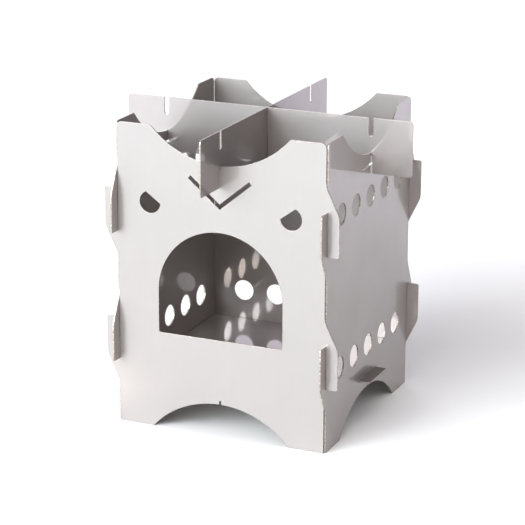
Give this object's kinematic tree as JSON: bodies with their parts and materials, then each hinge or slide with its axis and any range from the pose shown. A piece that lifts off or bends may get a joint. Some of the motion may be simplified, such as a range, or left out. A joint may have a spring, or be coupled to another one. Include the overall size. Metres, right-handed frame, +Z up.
{
  "type": "twig stove",
  "caption": "Flat-pack twig stove of interlocked steel sheets: arched fuel door, vent rows, a slot-in fire tray and a lift-off crossed pot support.",
  "frame": {"origin": "on the ground under the centre of the square fire box, which is also the centre of the footprint of the cross plates", "axes": "+Z up, -Y out of the wall with the fuel door, +X towards the right-hand wall as seen from the door"},
  "size_m": [0.18, 0.18, 0.1806],
  "materials": {
    "stainless_panel": "bright cold-rolled stainless sheet, smooth, with laser-cut edges",
    "stainless_tray": "bright cold-rolled stainless sheet, smooth",
    "stainless_cross": "bright cold-rolled stainless sheet, smooth, with laser-cut edges"
  },
  "bodies": {
    "fire_box": {"front_panel": "stainless_panel", "right_panel": "stainless_panel", "back_panel": "stainless_panel", "left_panel": "stainless_panel", "fire_tray": "stainless_tray"},
    "first_cross_plate": {"cross_plate_front_back": "stainless_cross"},
    "second_cross_plate": {"cross_plate_left_right": "stainless_cross"}
  },
  "joints": [
    {"name": "first_plate_lift", "type": "slide", "parent": "fire_box", "child": "first_cross_plate", "axis": [0, 0, 1], "range_m": [0, 0.035]},
    {"name": "second_plate_lift", "type": "slide", "parent": "first_cross_plate", "child": "second_cross_plate", "axis": [0, 0, 1], "range_m": [0, 0.035]}
  ]
}
